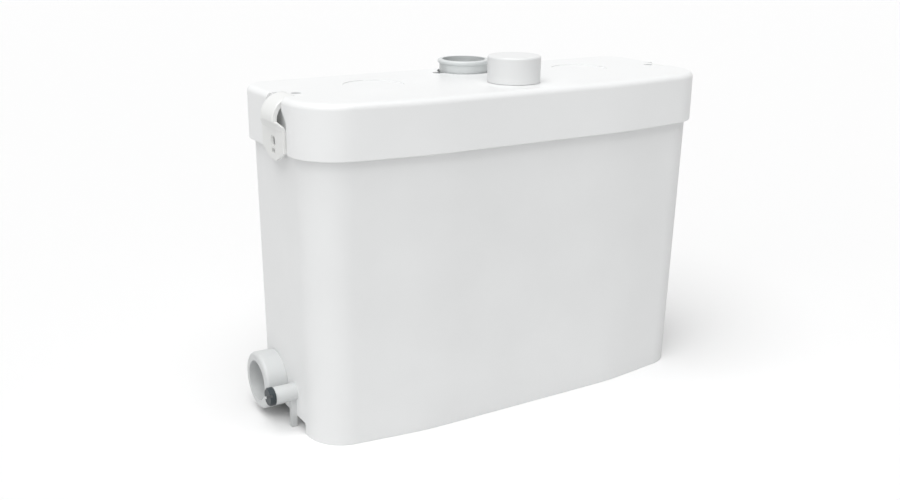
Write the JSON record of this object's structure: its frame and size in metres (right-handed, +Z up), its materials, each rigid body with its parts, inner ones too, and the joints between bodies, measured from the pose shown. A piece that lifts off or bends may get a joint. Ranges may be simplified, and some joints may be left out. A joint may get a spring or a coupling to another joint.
{
  "type": "sewage pump",
  "caption": "Compact floor-standing sewage lifting pump: sloping white tank with low side inlets, clipped lid, vent cap, discharge collar and grinder pump inside.",
  "frame": {"origin": "under the middle of the overall box, on the floor", "axes": "+X along the length to the end where the pump stands, +Y to the back with the discharge, +Z up"},
  "size_m": [0.4326, 0.148, 0.3063],
  "materials": {
    "tank_white": "satin",
    "stub_white": "satin",
    "lid_white": "satin",
    "clip_white": "satin",
    "cap_white": "satin",
    "collar_white": "matt",
    "seal_rubber": "matt",
    "flap_rubber": "matt",
    "screw_steel": "satin",
    "pin_steel": "satin",
    "bearing_steel": "polished",
    "can_steel": "satin",
    "core_steel": "dull",
    "shaft_steel": "ground",
    "cutter_steel": "ground",
    "winding_copper": "enamelled copper",
    "bracket_aluminium": "cast",
    "seal_ceramic": "smooth",
    "filter_carbon": "open foam",
    "plug_grey": "satin",
    "pipe_grey": "satin",
    "pump_black": "satin",
    "impeller_black": "satin",
    "deck_grey": "satin",
    "switch_black": "satin",
    "plunger_white": "satin",
    "capacitor_white": "satin",
    "block_cream": "satin"
  },
  "bodies": {
    "tank": {"tank_front": "tank_white", "tank_back": "tank_white", "tank_end_left": "tank_white", "tank_end_right": "tank_white", "pump_bosses": "tank_white", "tank_floor": "tank_white", "inlet_stub_left": "stub_white", "inlet_stub_right": "stub_white", "drain_spout_left": "stub_white", "drain_spout_right": "stub_white", "lid_gasket": "seal_rubber", "flap_pins": "pin_steel", "discharge_collar": "collar_white", "check_valve_pin": "pin_steel", "riser_pipe": "pipe_grey", "outlet_sleeve": "seal_rubber", "suction_strainer": "pump_black", "volute": "pump_black", "pump_bushes": "seal_rubber", "pump_foot_screws": "screw_steel", "bearing_bracket": "bracket_aluminium", "shaft_seal": "seal_ceramic", "lower_bearing": "bearing_steel", "upper_bearing": "bearing_steel", "motor_can": "can_steel", "motor_cover": "pump_black", "stator_core": "core_steel", "stator_winding": "winding_copper", "pressure_chamber": "pipe_grey", "component_deck": "deck_grey", "deck_screws": "screw_steel", "switch_housing": "switch_black", "switch_membrane": "flap_rubber", "microswitch": "switch_black", "capacitor": "capacitor_white", "capacitor_strap": "can_steel", "terminal_block": "block_cream", "cable_grommet": "seal_rubber"},
    "lid": {"lid": "lid_white", "lid_screw_left": "screw_steel", "lid_screw_right": "screw_steel", "clip_pins": "pin_steel", "vent_spigot": "lid_white"},
    "clip_left": {"clip_left": "clip_white"},
    "clip_right": {"clip_right": "clip_white"},
    "vent_cap": {"vent_cap": "cap_white", "vent_filter": "filter_carbon"},
    "inlet_flap_left": {"inlet_flap_left": "flap_rubber"},
    "inlet_flap_right": {"inlet_flap_right": "flap_rubber"},
    "drain_plug_left": {"drain_plug_left": "plug_grey", "plug_seal_left": "seal_rubber"},
    "drain_plug_right": {"drain_plug_right": "plug_grey", "plug_seal_right": "seal_rubber"},
    "check_flap": {"check_valve_flap": "flap_rubber"},
    "pump_rotor": {"rotor_core": "core_steel", "pump_shaft": "shaft_steel", "impeller": "impeller_black", "cutter": "cutter_steel", "shaft_nut": "screw_steel"},
    "switch_plunger": {"switch_plunger": "plunger_white"}
  },
  "joints": [
    {"name": "lid_lift", "type": "slide", "parent": "tank", "child": "lid", "axis": [0, 0, 1], "range_m": [0, 0.06]},
    {"name": "clip_left_swing", "type": "hinge", "parent": "lid", "child": "clip_left", "pos_m": [-0.1895, -0.001, 0.2804], "axis": [0, 1, 0], "range_deg": [0, 10]},
    {"name": "clip_right_swing", "type": "hinge", "parent": "lid", "child": "clip_right", "pos_m": [0.1895, -0.001, 0.2804], "axis": [0, -1, 0], "range_deg": [0, 10]},
    {"name": "vent_cap_pull", "type": "slide", "parent": "lid", "child": "vent_cap", "axis": [0, 0, 1], "range_m": [0, 0.03]},
    {"name": "inlet_flap_left_swing", "type": "hinge", "parent": "tank", "child": "inlet_flap_left", "pos_m": [-0.18275, 0.0375, 0.0554], "axis": [0, -1, 0], "range_deg": [0, 50]},
    {"name": "inlet_flap_right_swing", "type": "hinge", "parent": "tank", "child": "inlet_flap_right", "pos_m": [0.18275, 0.0355, 0.0554], "axis": [0, 1, 0], "range_deg": [0, 50]},
    {"name": "check_flap_lift", "type": "hinge", "parent": "tank", "child": "check_flap", "pos_m": [0.002, 0.0605, 0.2722], "axis": [-1, 0, 0], "range_deg": [0, 55]},
    {"name": "drain_plug_left_pull", "type": "slide", "parent": "tank", "child": "drain_plug_left", "axis": [-1, 0, 0], "range_m": [0, 0.022]},
    {"name": "drain_plug_right_pull", "type": "slide", "parent": "tank", "child": "drain_plug_right", "axis": [1, 0, 0], "range_m": [0, 0.022]},
    {"name": "pump_spin", "type": "hinge", "parent": "tank", "child": "pump_rotor", "pos_m": [0.062, -0.002, 0.1], "axis": [0, 0, 1], "continuous": true},
    {"name": "switch_plunger_lift", "type": "slide", "parent": "tank", "child": "switch_plunger", "axis": [0, 0, 1], "range_m": [0, 0.002], "stiffness_N_per_m": 60, "springref_m": -0.002}
  ]
}
